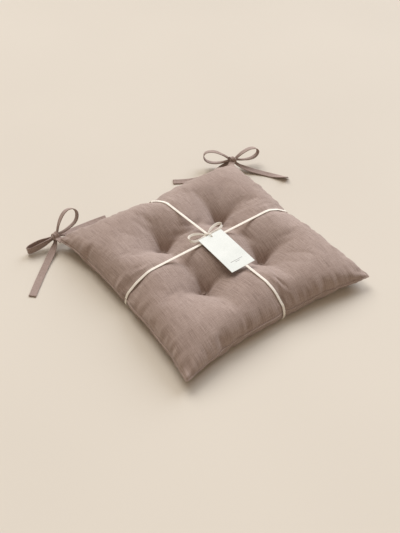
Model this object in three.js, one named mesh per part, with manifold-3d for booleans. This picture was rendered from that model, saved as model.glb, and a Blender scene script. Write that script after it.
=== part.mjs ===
// Square tufted seat cushion with a bow of sewn-on ties at each back corner, wrapped like a
// parcel in flat ribbon with a hang tag on top. Millimetres, +Z up. The origin is the middle of
// the underside on the surface that the cushion lies on; +Y points at the edge with the ties.
import * as THREE from "three";
import { mergeVertices } from "three/addons/utils/BufferGeometryUtils.js";
import Module from "manifold-3d";

// ---- Driving dimensions ----
const HALF = 200; // half of the seam-to-seam width, corner to corner
const PULL = { left: 13, right: 5, front: 19, back: 7 }; // how far each side draws in at its middle
const SEAM_Z = 20; // height of the edge seam
const CROWN = 38; // rise of the top panel above its seam
const DROP = 40; // fall of the bottom panel below its seam, before the surface stops it
const LINEN = 1.2; // cover thickness, with its turned and lined edges
const GAP = 0.4; // clearance between neighbouring pieces

const TUFT = 62.5; // each tuft's distance from both centre lines
const TUFT_DEPTH = 24;
const TUFT_RADIUS = 24;
const VALLEY_DEPTH = 4; // crease between neighbouring tufts
const VALLEY_WIDTH = 15;
const DIMPLE = 8; // height of the underside's dimple at a tuft
const DIMPLE_RADIUS = 16;
const THREAD = 0.9; // radius of the tufting thread
const THREAD_KNOT = { radius: 2.2, start: 0.6, end: 1.8 }; // its knot, and where that lies past the cloth
const THREAD_SIDES = 10;

const WRAP = new THREE.Vector2(5, 8); // where the two ribbon bands cross
const ALONG_SLOPE = -0.086; // sideways drift of the front-to-back band, per mm of length
const ACROSS_SLOPE = 0.023; // the same for the left-to-right band
const RIBBON = { width: 5, thickness: 0.8 };
const GROOVE = { depth: 2.5, floor: 3.4, edge: 5.4 }; // the ribbon's recess in the underside
const WARP_REACH = 0.28; // how far from a band the cover's panels bend to follow it, as a share of HALF

const TIE = { width: 13.5, thickness: 1 }; // cloth tape of the ties
const NECK = 0.5; // share of its width that a tape keeps where the knot gathers it
const LOOP_GAP = 1.1; // from a bow loop's middle plane to its tape, at the knot
const KNOT = new THREE.Vector3(7.5, 6, 6); // half sizes of a tie's knot
const ROOT = { width: 10, thickness: 0.8, inside: 7 }; // tape caught in the corner seam
const SEAM_RIDGE = { inner: 0.5, outer: 1.9, height: 2.4 };

const TAG = { width: 51, length: 94, thickness: 0.8, hole: 2, holeInset: 5, bow: 2.4, tilt: 2.4 };
const TAG_TURN = 1.5; // degrees that the tag is turned about the upright
const TAG_PIVOT = new THREE.Vector3(4, 12, 63);
const TAG_STRING = { radius: 3.7, thickness: 0.8, width: 1.6 };

// Grid lines of the cushion's panels, as distances from the middle in mm.
const HALF_LINES = [GROOVE.floor, GROOVE.edge, 24, 44, TUFT, 82, 106, 132, 157, 178, 192, HALF];

const COLOURS = {
  linen: 0xa68f82,
  linenBack: 0x9d8678,
  seam: 0x8f796c,
  filling: 0xf1eee6,
  thread: 0x7d685c,
  tie: 0xa08a7d,
  ribbon: 0xefe7d8,
  card: 0xf3f4ee,
};

const wasm = await Module();
wasm.setup();

const group = new THREE.Group();

// ---- Helpers ----
const clamp = THREE.MathUtils.clamp;
const lerp = THREE.MathUtils.lerp;

function addPiece(name, geometry, colour, roughness = 0.95, parent = group) {
  const material = new THREE.MeshStandardMaterial({ color: colour, roughness, metalness: 0 });
  const mesh = new THREE.Mesh(geometry, material);
  mesh.name = name;
  parent.add(mesh);
  return mesh;
}

// A closed sheet between two grids of points. Seen from the upper side, rows run to the left of columns.
function slab(columns, rows, upper, lower) {
  const positions = [];
  for (const side of [upper, lower]) {
    for (let j = 0; j <= rows; j++) {
      for (let i = 0; i <= columns; i++) positions.push(...side(i, j).toArray());
    }
  }
  const layer = (columns + 1) * (rows + 1);
  const at = (i, j) => j * (columns + 1) + i;
  const faces = [];
  for (let j = 0; j < rows; j++) {
    for (let i = 0; i < columns; i++) {
      const [a, b, c, d] = [at(i, j), at(i + 1, j), at(i + 1, j + 1), at(i, j + 1)];
      faces.push(a, b, c, a, c, d);
      faces.push(layer + a, layer + c, layer + b, layer + a, layer + d, layer + c);
    }
  }
  const rim = [];
  for (let i = 0; i < columns; i++) rim.push(at(i, 0));
  for (let j = 0; j < rows; j++) rim.push(at(columns, j));
  for (let i = columns; i > 0; i--) rim.push(at(i, rows));
  for (let j = rows; j > 0; j--) rim.push(at(0, j));
  rim.forEach((a, k) => {
    const b = rim[(k + 1) % rim.length];
    faces.push(a, layer + a, layer + b, a, layer + b, b);
  });
  const geometry = new THREE.BufferGeometry();
  geometry.setAttribute("position", new THREE.Float32BufferAttribute(positions, 3));
  geometry.setIndex(faces);
  geometry.computeVertexNormals();
  return geometry;
}

function solidOf(geometry) {
  const bare = geometry.clone();
  bare.deleteAttribute("normal");
  bare.deleteAttribute("uv");
  const merged = mergeVertices(bare, 1e-4);
  return new wasm.Manifold(
    new wasm.Mesh({
      numProp: 3,
      vertProperties: new Float32Array(merged.attributes.position.array),
      triVerts: new Uint32Array(merged.index.array),
    }),
  );
}

function cut(geometry, tools) {
  const solid = tools.reduce((left, tool) => left.subtract(solidOf(tool)), solidOf(geometry));
  const [body] = solid.decompose().sort((a, b) => b.volume() - a.volume()); // drops slivers
  const mesh = body.getMesh();
  const result = new THREE.BufferGeometry();
  result.setAttribute("position", new THREE.BufferAttribute(mesh.vertProperties, 3));
  result.setIndex(new THREE.BufferAttribute(mesh.triVerts, 1));
  result.computeVertexNormals();
  return result;
}

// ---- Shape of the pad ----
// A place on the pad is (u, v), each from -1 at one edge seam to 1 at the other.
const lines = [...HALF_LINES.map((d) => -d).reverse(), 0, ...HALF_LINES].map((d) => d / HALF);
const CELLS = lines.length - 1;

// The panels bend a little so that u = 0 and v = 0 lie exactly under the ribbon bands.
const nearBand = (t) => (Math.abs(t) < WARP_REACH ? (1 - (t / WARP_REACH) ** 2) ** 2 : 0);

function place(u, v) {
  let y = v * HALF + nearBand(v) * (WRAP.y + ACROSS_SLOPE * (u * HALF - WRAP.x));
  let x = u * HALF + nearBand(u) * (WRAP.x + ALONG_SLOPE * (y - WRAP.y));
  const pullX = u > 0 ? PULL.right : PULL.left;
  const pullY = v > 0 ? PULL.back : PULL.front;
  x -= Math.sign(u) * pullX * Math.abs(u) ** 3 * (1 - v * v);
  y -= Math.sign(v) * pullY * Math.abs(v) ** 3 * (1 - u * u);
  return new THREE.Vector2(x, y);
}

const plump = (t) => (1 - t ** 4) ** 0.55;

// Distance from a point to the nearest side of the square whose corners are the tufts.
function valleyDistance({ x, y }) {
  const beyond = (t) => Math.max(0, Math.abs(t) - TUFT);
  const toColumn = Math.hypot(Math.abs(x) - TUFT, beyond(y));
  const toRow = Math.hypot(Math.abs(y) - TUFT, beyond(x));
  return Math.min(toColumn, toRow);
}

function tuftDistances(point) {
  const distances = [];
  for (const x of [-TUFT, TUFT]) {
    for (const y of [-TUFT, TUFT]) distances.push(Math.hypot(point.x - x, point.y - y));
  }
  return distances;
}

function topZ(u, v) {
  const point = place(u, v);
  const pulls = tuftDistances(point).map((r) => (1 + (r / TUFT_RADIUS) ** 2) ** -1.2);
  const tufts = TUFT_DEPTH * pulls.reduce((sum, pull) => sum + pull, 0);
  const valley = VALLEY_DEPTH * Math.exp(-((valleyDistance(point) / VALLEY_WIDTH) ** 2));
  const fullness = plump(u) * plump(v);
  const clearOfTufts = 1 - Math.max(...pulls);
  return SEAM_Z + GAP / 2 + LINEN + fullness * (CROWN - tufts - valley * clearOfTufts);
}

function bottomZ(u, v) {
  const point = place(u, v);
  const fall = SEAM_Z - GAP / 2 - LINEN - DROP * plump(u) * plump(v);
  const dimples = tuftDistances(point).map((r) => DIMPLE * Math.exp(-((r / DIMPLE_RADIUS) ** 2)));
  const groove = (t) =>
    GROOVE.depth * clamp((GROOVE.edge - Math.abs(t) * HALF) / (GROOVE.edge - GROOVE.floor), 0, 1);
  return Math.max(fall, groove(u), groove(v), ...dimples.map((z) => (z > 0.5 ? z : 0)), 0);
}

function padPoint(i, j, height, offset) {
  const { x, y } = place(lines[i], lines[j]);
  return new THREE.Vector3(x, y, height(lines[i], lines[j]) + offset);
}

// ---- Rings: a closed outline made into a flat band of constant thickness ----
const ARC_STEP = THREE.MathUtils.degToRad(22);

// Moves a counterclockwise outline outwards, with round corners where it turns sharply.
function offsetOutline(points, distance) {
  const count = points.length;
  const normal = (a, b) => new THREE.Vector2(b.y - a.y, a.x - b.x).normalize();
  return points.flatMap((point, k) => {
    const before = normal(points[(k + count - 1) % count], point);
    const after = normal(point, points[(k + 1) % count]);
    const turn = Math.asin(clamp(before.cross(after), -1, 1));
    const steps = turn > ARC_STEP / 2 ? Math.ceil(turn / ARC_STEP) : 0;
    const shares = steps ? Array.from({ length: steps + 1 }, (_, s) => s / steps) : [0.5];
    return shares.map((share) => before.clone().lerp(after, share).setLength(distance).add(point));
  });
}

function ring(outline, inner, outer, depth) {
  const shape = new THREE.Shape(offsetOutline(outline, outer));
  shape.holes.push(new THREE.Path(offsetOutline(outline, inner)));
  return new THREE.ExtrudeGeometry(shape, { depth, bevelEnabled: false });
}

// ---- Cloth tapes: a flat strip along a route ----
// The route is a list of points, and facing gives the strip's width direction at its two ends.
function tape(route, facing, size, neckStart, neckEnd, steps) {
  const curve = new THREE.CatmullRomCurve3(route, false, "centripetal");
  const frameAt = (i) => {
    const share = i / steps;
    const centre = curve.getPointAt(share);
    const tangent = curve.getTangentAt(share);
    const across = facing[0].clone().lerp(facing[1], share);
    across.addScaledVector(tangent, -across.dot(tangent)).normalize();
    const spread = Math.min(1, neckStart + 8 * share, neckEnd + 8 * (1 - share));
    return { centre, across, normal: tangent.cross(across), width: size.width * spread };
  };
  const side = (sign) => (i, j) => {
    const { centre, across, normal, width } = frameAt(i);
    centre.addScaledVector(across, (j - 0.5) * width);
    return centre.addScaledVector(normal, (sign * size.thickness) / 2);
  };
  return slab(steps, 1, side(1), side(-1));
}

// The route of one bow loop: out from the knot to the tip and back, open by the given amount.
function loopRoute(knot, tip, openTowards, opening, clear) {
  const out = tip.clone().sub(knot);
  const reach = out.length();
  out.normalize();
  const open = openTowards.clone().addScaledVector(out, -openTowards.dot(out)).normalize();
  const widest = 0.385; // the greatest value of cos(t) * sin(t)^2
  const points = [];
  const count = 16;
  for (let k = 0; k <= count; k++) {
    const turn = (Math.PI * k) / count;
    const far = Math.sin(turn) ** 2;
    const along = clear + (reach - clear) * far;
    const aside = -Math.cos(turn) * (LOOP_GAP + (opening / 2 / widest) * far);
    points.push(knot.clone().addScaledVector(out, along).addScaledVector(open, aside));
  }
  return { points, across: out.clone().cross(open) };
}

function bowLoop(knot, tip, openTowards, opening, size, clear) {
  const { points, across } = loopRoute(knot, tip, openTowards, opening, clear);
  return tape(points, [across, across], size, NECK, NECK, 22);
}

function knotShape(halfSizes) {
  return new THREE.SphereGeometry(1, 14, 10).scale(...halfSizes.toArray());
}

const point = (x, y, z) => new THREE.Vector3(x, y, z);

// ---- Ties ----
// Each tie is one tape: its middle is sewn into the corner and its ends make the bow.
const TIES = {
  left: {
    knot: point(-202, 213, 18),
    corner: point(-HALF, HALF, SEAM_Z),
    loops: {
      upright: { tip: point(-149, 229, 46), open: point(-0.54, 0.32, 0.64), opening: 27 },
      outer: { tip: point(-259, 217, 9), open: point(0.15, 1, 0), opening: 9 },
    },
    tails: {
      outer: {
        route: [
          point(-207, 205, 12),
          point(-219, 194, 7),
          point(-236, 180, 3),
          point(-257, 161, 1.6),
          point(-280, 139, 1.4),
          point(-302, 117, 1.4),
        ],
        facing: [point(0.7, -0.7, 0), point(0.7, -0.7, 0)],
      },
      back: {
        route: [
          point(-193, 217, 13),
          point(-178, 219, 9),
          point(-158, 221, 6),
          point(-136, 221.5, 4.6),
          point(-113, 220.5, 4.2),
          point(-90, 218, 4.2),
        ],
        facing: [point(0, 1, 0), point(0, 0.97, 0.2)],
      },
    },
  },
  right: {
    knot: point(209, 208, 20),
    corner: point(HALF, HALF, SEAM_Z),
    loops: {
      back: { tip: point(163, 247, 26), open: point(0.08, 0.3, 0.95), opening: 23 },
      outer: { tip: point(266, 197, 27), open: point(0, 0.3, 0.95), opening: 20 },
    },
    tails: {
      outer: {
        route: [
          point(214, 200, 13),
          point(221, 189, 9),
          point(232, 175, 5),
          point(247, 157, 2.2),
          point(263, 134, 1.4),
          point(278, 111, 1.4),
        ],
        facing: [point(-0.8, -0.6, 0), point(-0.8, -0.6, 0)],
      },
      back: {
        route: [
          point(200, 213, 13),
          point(184, 214, 6.5),
          point(160, 212, 2.4),
          point(134, 214, 1.4),
          point(107, 223, 1.4),
          point(80, 238, 1.4),
        ],
        facing: [point(0, -1, 0), point(0, -1, 0)],
      },
    },
  },
};

function rootTape({ knot, corner }, extra) {
  const out = knot.clone().sub(corner).setZ(0).normalize();
  const start = corner.clone().addScaledVector(out, -ROOT.inside - extra);
  const seamEdge = corner.clone().addScaledVector(out, SEAM_RIDGE.outer);
  const end = corner.clone().addScaledVector(out, knot.distanceTo(corner) - KNOT.x - GAP);
  end.z = lerp(corner.z, knot.z, 0.5);
  const across = point(-out.y, out.x, 0);
  const size = { width: ROOT.width + 2 * extra, thickness: ROOT.thickness + 2 * extra };
  return tape([start, corner, seamEdge, end], [across, across], size, 1, 1, 8);
}

const rootPockets = Object.values(TIES).map((tie) => rootTape(tie, GAP));

for (const [side, tie] of Object.entries(TIES)) {
  addPiece(`${side}_tie_root`, rootTape(tie, 0), COLOURS.tie);
  addPiece(`${side}_tie_knot`, knotShape(KNOT).translate(...tie.knot.toArray()), COLOURS.tie);
  for (const [name, { tip, open, opening }] of Object.entries(tie.loops)) {
    const loop = bowLoop(tie.knot, tip, open, opening, TIE, KNOT.x + 1);
    addPiece(`${side}_tie_${name}_loop`, loop, COLOURS.tie);
  }
  for (const [name, { route, facing }] of Object.entries(tie.tails)) {
    addPiece(`${side}_tie_${name}_tail`, tape(route, facing, TIE, NECK, 1, 18), COLOURS.tie);
  }
}

// ---- Tufting threads ----
function tuftThread(x, y, low, high) {
  const { radius, start, end } = THREAD_KNOT;
  const profile = [
    new THREE.Vector2(0, low - end),
    new THREE.Vector2(radius, low - end),
    new THREE.Vector2(THREAD, low - start),
    new THREE.Vector2(THREAD, high + start),
    new THREE.Vector2(radius, high + end),
    new THREE.Vector2(0, high + end),
  ];
  return new THREE.LatheGeometry(profile, THREAD_SIDES).rotateX(Math.PI / 2).translate(x, y, 0);
}

const tuftLine = TUFT / HALF;
const threadHoles = [];
for (const [sideName, u] of [["left", -tuftLine], ["right", tuftLine]]) {
  for (const [endName, v] of [["front", -tuftLine], ["back", tuftLine]]) {
    const { x, y } = place(u, v);
    const low = bottomZ(u, v);
    const high = topZ(u, v);
    addPiece(`tuft_thread_${endName}_${sideName}`, tuftThread(x, y, low, high), COLOURS.thread);
    const hole = new THREE.CylinderGeometry(THREAD + GAP, THREAD + GAP, 2 * high, THREAD_SIDES);
    threadHoles.push(hole.rotateX(Math.PI / 2).translate(x, y, high / 2));
  }
}

// ---- Pad: top panel, bottom panel, filling and edge seam ----
const topCover = slab(
  CELLS,
  CELLS,
  (i, j) => padPoint(i, j, topZ, 0),
  (i, j) => padPoint(i, j, topZ, -LINEN),
);
const bottomCover = slab(
  CELLS,
  CELLS,
  (i, j) => padPoint(i, j, bottomZ, LINEN),
  (i, j) => padPoint(i, j, bottomZ, 0),
);
const filling = slab(
  CELLS - 2,
  CELLS - 2,
  (i, j) => padPoint(i + 1, j + 1, topZ, -LINEN - GAP),
  (i, j) => padPoint(i + 1, j + 1, bottomZ, LINEN + GAP),
);
addPiece("top_cover", cut(topCover, [...threadHoles, ...rootPockets]), COLOURS.linen);
addPiece("bottom_cover", cut(bottomCover, [...threadHoles, ...rootPockets]), COLOURS.linenBack);
addPiece("filling", cut(filling, threadHoles), COLOURS.filling, 1);

const edgeOutline = [
  ...lines.slice(0, -1).map((t) => place(t, -1)),
  ...lines.slice(0, -1).map((t) => place(1, t)),
  ...lines.slice(1).reverse().map((t) => place(t, 1)),
  ...lines.slice(1).reverse().map((t) => place(-1, t)),
];
const seamRidge = ring(edgeOutline, SEAM_RIDGE.inner, SEAM_RIDGE.outer, SEAM_RIDGE.height);
seamRidge.translate(0, 0, SEAM_Z - SEAM_RIDGE.height / 2);
addPiece("edge_seam", cut(seamRidge, rootPockets), COLOURS.seam);

// ---- Ribbon bands ----
// Convex outline round the pad in a band's plane: distance from the crossing against height.
function convexOutline(points) {
  const sorted = [...points].sort((a, b) => a.x - b.x || a.y - b.y);
  const chain = (list) => {
    const kept = [];
    for (const next of list) {
      while (kept.length > 1) {
        const [a, b] = kept.slice(-2);
        if (b.clone().sub(a).cross(next.clone().sub(b)) > 1e-6) break;
        kept.pop();
      }
      kept.push(next);
    }
    return kept.slice(0, -1);
  };
  return [...chain(sorted), ...chain(sorted.reverse())];
}

// The pad's section under a band, on the band's middle line and both its edges.
function bandSection(direction, at) {
  const section = [];
  for (const t of lines) {
    for (const aside of [-GROOVE.floor / HALF, 0, GROOVE.floor / HALF]) {
      const [u, v] = at(t, aside);
      const run = place(u, v).sub(WRAP).dot(direction);
      section.push(new THREE.Vector2(run, topZ(u, v)), new THREE.Vector2(run, bottomZ(u, v)));
      if (Math.abs(t) < 1) continue;
      const ridgeRun = run + Math.sign(t) * SEAM_RIDGE.outer;
      for (const half of [-0.5, 0.5]) {
        section.push(new THREE.Vector2(ridgeRun, SEAM_Z + half * SEAM_RIDGE.height));
      }
    }
  }
  return section;
}

function ribbonBand(section, direction) {
  const outline = convexOutline(section);
  const band = ring(outline, GAP, GAP + RIBBON.thickness, RIBBON.width);
  band.translate(0, 0, -RIBBON.width / 2);
  const sideways = new THREE.Vector3(direction.y, -direction.x, 0);
  const basis = new THREE.Matrix4().makeBasis(point(direction.x, direction.y, 0), point(0, 0, 1), sideways);
  return band.applyMatrix4(basis).translate(WRAP.x, WRAP.y, 0);
}

const acrossDirection = new THREE.Vector2(1, ACROSS_SLOPE).normalize();
const alongDirection = new THREE.Vector2(ALONG_SLOPE, 1).normalize();
const layerStep = RIBBON.thickness + GAP;
const acrossSection = bandSection(acrossDirection, (t, aside) => [t, aside]);
const alongSection = bandSection(alongDirection, (t, aside) => [aside, t]);
// The left-to-right band lies outside the other on the underside, and inside it on top.
for (const run of [-140, 140]) acrossSection.push(new THREE.Vector2(run, GROOVE.depth - layerStep));
const acrossTop = Math.max(...acrossSection.filter(({ x }) => Math.abs(x) < 30).map(({ y }) => y));
const crossingTop = acrossTop + layerStep;
alongSection.push(new THREE.Vector2(0, crossingTop));
addPiece("wrap_ribbon_across", ribbonBand(acrossSection, acrossDirection), COLOURS.ribbon, 0.8);
addPiece("wrap_ribbon_along", ribbonBand(alongSection, alongDirection), COLOURS.ribbon, 0.8);

// ---- Ribbon bow ----
const bowHeight = crossingTop + layerStep + 2.2;
const wrapKnot = point(2, 20.5, bowHeight);
const WRAP_KNOT = point(3.6, 2.8, 1.8);
addPiece("wrap_knot", knotShape(WRAP_KNOT).translate(...wrapKnot.toArray()), COLOURS.ribbon, 0.8);
const wrapLoops = {
  left: { tip: point(-33, 28, bowHeight + 0.5), open: point(0.24, 0.97, 0), opening: 13 },
  right: { tip: point(39, 27, bowHeight + 1), open: point(0, 1, 0.2), opening: 9 },
};
for (const [name, { tip, open, opening }] of Object.entries(wrapLoops)) {
  const loop = bowLoop(wrapKnot, tip, open, opening, RIBBON, WRAP_KNOT.x + 1);
  addPiece(`wrap_${name}_loop`, loop, COLOURS.ribbon, 0.8);
}
const WRAP_END = { width: 3.6, thickness: RIBBON.thickness };
for (const [name, sign] of [["left", -1], ["right", 1]]) {
  const x = (out) => wrapKnot.x + sign * out;
  const route = [
    point(x(4.6), wrapKnot.y - 2, bowHeight - 0.4),
    point(x(8.5), wrapKnot.y - 6, bowHeight - 1),
    point(x(13), 5, bowHeight - 1.4),
    point(x(16), -9, bowHeight - 1.6),
  ];
  const facing = [point(sign * 0.7, 0.5, 0.5), point(sign * 0.95, 0.3, 0.05)];
  addPiece(`wrap_${name}_end`, tape(route, facing, WRAP_END, NECK, 1, 10), COLOURS.ribbon, 0.8);
}

// ---- Hang tag, hinged on the little ribbon ring through its hole ----
const tagGroup = new THREE.Group();
tagGroup.position.copy(TAG_PIVOT);
tagGroup.rotation.z = THREE.MathUtils.degToRad(TAG_TURN);
group.add(tagGroup);

const TAG_COLUMNS = 4;
const TAG_ROWS = 10;
const edgeBeyondPivot = TAG.holeInset / 2;
function tagPoint(i, j, offset) {
  const along = (TAG_ROWS - j) / TAG_ROWS;
  const x = (i / TAG_COLUMNS - 0.5) * TAG.width;
  const y = edgeBeyondPivot - along * TAG.length;
  const z = -TAG.tilt * along - TAG.bow * along ** 2 + offset;
  return point(x, y, z);
}
const card = slab(
  TAG_COLUMNS,
  TAG_ROWS,
  (i, j) => tagPoint(i, j, TAG.thickness / 2),
  (i, j) => tagPoint(i, j, -TAG.thickness / 2),
);
const punch = new THREE.CylinderGeometry(TAG.hole, TAG.hole, 10, 14).rotateX(Math.PI / 2);
punch.translate(0, edgeBeyondPivot - TAG.holeInset, 0);
addPiece("hang_tag", cut(card, [punch]), COLOURS.card, 0.7, tagGroup);

const stringShape = new THREE.Shape().absarc(0, 0, TAG_STRING.radius, 0, 2 * Math.PI);
const stringHole = new THREE.Path().absarc(0, 0, TAG_STRING.radius - TAG_STRING.thickness, 0, 2 * Math.PI);
stringShape.holes.push(stringHole);
const tagString = new THREE.ExtrudeGeometry(stringShape, {
  depth: TAG_STRING.width,
  bevelEnabled: false,
  curveSegments: 10,
});
tagString.translate(0, 0, -TAG_STRING.width / 2).rotateY(Math.PI / 2);
addPiece("tag_string", tagString, COLOURS.ribbon, 0.8, tagGroup);

export default group;
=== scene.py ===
"""Looks of a square tufted linen seat cushion: cloth pad, tie bows, ribbon wrap and hang tag.

Metres, +Z up, +Y towards the edge with the ties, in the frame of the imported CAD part.
"""

import math

import bpy
import numpy as np
from mathutils import Matrix, Vector, noise
from mathutils.bvhtree import BVHTree


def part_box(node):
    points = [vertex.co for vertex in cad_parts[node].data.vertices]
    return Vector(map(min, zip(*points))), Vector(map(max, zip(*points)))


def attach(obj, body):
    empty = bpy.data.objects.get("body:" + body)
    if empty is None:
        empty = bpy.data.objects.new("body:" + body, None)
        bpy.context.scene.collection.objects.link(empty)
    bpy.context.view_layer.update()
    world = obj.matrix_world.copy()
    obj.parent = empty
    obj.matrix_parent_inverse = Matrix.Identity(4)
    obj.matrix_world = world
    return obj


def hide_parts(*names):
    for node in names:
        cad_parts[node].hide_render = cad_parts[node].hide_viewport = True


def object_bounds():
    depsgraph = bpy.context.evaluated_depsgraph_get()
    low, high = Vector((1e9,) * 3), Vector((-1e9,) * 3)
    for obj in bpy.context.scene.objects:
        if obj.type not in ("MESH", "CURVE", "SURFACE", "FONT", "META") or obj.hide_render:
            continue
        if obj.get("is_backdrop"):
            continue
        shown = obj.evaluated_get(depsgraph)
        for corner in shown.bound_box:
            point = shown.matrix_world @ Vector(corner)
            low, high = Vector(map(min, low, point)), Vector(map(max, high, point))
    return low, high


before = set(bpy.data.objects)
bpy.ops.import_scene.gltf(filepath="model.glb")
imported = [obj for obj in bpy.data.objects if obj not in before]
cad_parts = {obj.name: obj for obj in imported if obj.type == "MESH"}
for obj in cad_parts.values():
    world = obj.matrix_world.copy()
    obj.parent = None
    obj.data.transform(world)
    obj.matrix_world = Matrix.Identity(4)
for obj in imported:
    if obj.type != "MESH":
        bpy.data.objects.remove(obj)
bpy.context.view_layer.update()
scene = bpy.context.scene

MM = 0.001


def mm(x, y, z):
    return Vector((x, y, z)) * MM


# ---- Camera ----
AZIMUTH, ELEVATION, ROLL = math.radians(-37.371), math.radians(44.636), math.radians(1.6325)
DISTANCE = 1.4493
TARGET = Vector((-0.0188, 0.0105, 0))
FOCAL_LENGTH, SENSOR_WIDTH = 53.875, 36  # millimetres

camera = bpy.data.objects.new("camera", bpy.data.cameras.new("camera"))
camera.data.lens = FOCAL_LENGTH
camera.data.sensor_width = SENSOR_WIDTH
scene.collection.objects.link(camera)
scene.camera = camera
flat = math.cos(ELEVATION)
back = Vector((math.sin(AZIMUTH) * flat, -math.cos(AZIMUTH) * flat, math.sin(ELEVATION)))
right = Vector((math.cos(AZIMUTH), math.sin(AZIMUTH), 0))
up = back.cross(right)
level = Matrix((right, up, back)).transposed()
rolled = level @ Matrix.Rotation(ROLL, 3, "Z")
camera.matrix_world = Matrix.Translation(TARGET + back * DISTANCE) @ rolled.to_4x4()


# ---- Pieces and meshes ----
CURVE_STEPS = 24  # straight steps between two points of a route, before it is divided evenly
HEM_WIDTH, HEM_SLOPE = 0.0022, 0.0008  # the folded long edges of a tape
END_HEM_LENGTH, END_HEM_SWELL = 0.0065, 0.35  # the folded end
CURL_START = 0.66  # the share of a tape's length where its curl begins
FOLD_FADE = 0.006  # folds flatten out below this height above the floor


def dress(piece, body, node):
    """Puts a piece on a body. node is the CAD piece that it replaces, or None."""
    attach(piece, body)
    if node:
        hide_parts(node)


def make_object(name, verts, faces, uvs=None, material=None):
    mesh = bpy.data.meshes.new(name)
    mesh.from_pydata([tuple(v) for v in verts], [], faces)
    if uvs is not None:
        layer = mesh.uv_layers.new(name="cloth")
        for loop in mesh.loops:
            layer.data[loop.index].uv = uvs[loop.vertex_index]
    mesh.polygons.foreach_set("use_smooth", [True] * len(mesh.polygons))
    obj = bpy.data.objects.new(name, mesh)
    scene.collection.objects.link(obj)
    if material:
        mesh.materials.append(material)
    return obj


def smooth_route(points, step):
    """Points a step apart along a centripetal curve through the given ones."""
    pts = [points[0] * 2 - points[1], *points, points[-1] * 2 - points[-2]]
    fine = []
    for p0, p1, p2, p3 in zip(pts, pts[1:], pts[2:], pts[3:]):
        t1 = math.sqrt((p1 - p0).length)
        t2 = t1 + math.sqrt((p2 - p1).length)
        t3 = t2 + math.sqrt((p3 - p2).length)
        for k in range(CURVE_STEPS):
            t = t1 + (t2 - t1) * k / CURVE_STEPS
            a1 = p0.lerp(p1, t / t1)
            a2 = p1.lerp(p2, (t - t1) / (t2 - t1))
            a3 = p2.lerp(p3, (t - t2) / (t3 - t2))
            b1 = a1.lerp(a2, t / t2)
            b2 = a2.lerp(a3, (t - t1) / (t3 - t1))
            fine.append(b1.lerp(b2, (t - t1) / (t2 - t1)))
    fine.append(points[-1].copy())
    return resample(fine, step)


def resample(fine, step):
    """Points evenly spaced along a polyline, about a step apart."""
    run = np.concatenate([[0], np.cumsum([(b - a).length for a, b in zip(fine, fine[1:])])])
    count = max(2, round(run[-1] / step))
    wanted = np.linspace(0, run[-1], count + 1)
    columns = [np.interp(wanted, run, [p[axis] for p in fine]) for axis in range(3)]
    return [Vector(p) for p in zip(*columns)]


def section_outline(width, thickness, columns, hem):
    """Round-edged flat section as (across, along normal) pairs, with thicker hemmed edges."""
    half, r = width / 2, thickness / 2
    shares = [k / columns for k in range(columns + 1)]
    spans = [(2 * s - 1) * (half - r) for s in shares]

    def lift(s):
        inside = half - abs(s)
        return hem * min(1, max(0, 1 - (inside - HEM_WIDTH) / HEM_SLOPE))

    top = [(s, r + lift(s)) for s in spans]
    edge = [(half - r + r * math.sin(a), (r + hem) * math.cos(a)) for a in (0.8, 1.57, 2.34)]
    bottom = [(s, -r - lift(s)) for s in reversed(spans)]
    other = [(-s, n) for s, n in reversed(edge)]
    return top + edge + bottom + other


def gathers(ends, reach):
    """How wide a tape stays and how strongly it folds, from each end's kept width and distance."""
    spread, gathered = 1.0, 0.0
    for keep, away in ends:
        if keep < 1:
            near = math.exp(-((away / reach) ** 2))
            spread = min(spread, keep + (1 - keep) * (1 - near))
            gathered = max(gathered, near)
    return spread, gathered


def ring_faces(count, ring, closed=False):
    """Faces between sections of ring points each, and from the last to the first if closed."""
    faces = []
    for k in range(count if closed else count - 1):
        after = (k + 1) % count
        for m in range(ring):
            n = (m + 1) % ring
            faces.append((k * ring + m, k * ring + n, after * ring + n, after * ring + m))
    return faces


def strip_faces(count, ring, columns, closed):
    """Faces between a tape's sections, with caps on its two ends unless it is closed."""
    faces = ring_faces(count, ring, closed)
    if closed:
        return faces
    last = (count - 1) * ring
    for m in range(columns):
        other = 2 * columns + 4 - m
        faces.append((m + 1, m, other, other - 1))
        faces.append((last + m, last + m + 1, last + other - 1, last + other))
    right_cap = [columns + k for k in range(5)]
    left_cap = [2 * columns + 4 + k for k in range(4)] + [0]
    for cap in (right_cap, left_cap):
        faces.append(tuple(reversed(cap)))
        faces.append(tuple(last + c for c in cap))
    return faces


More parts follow.
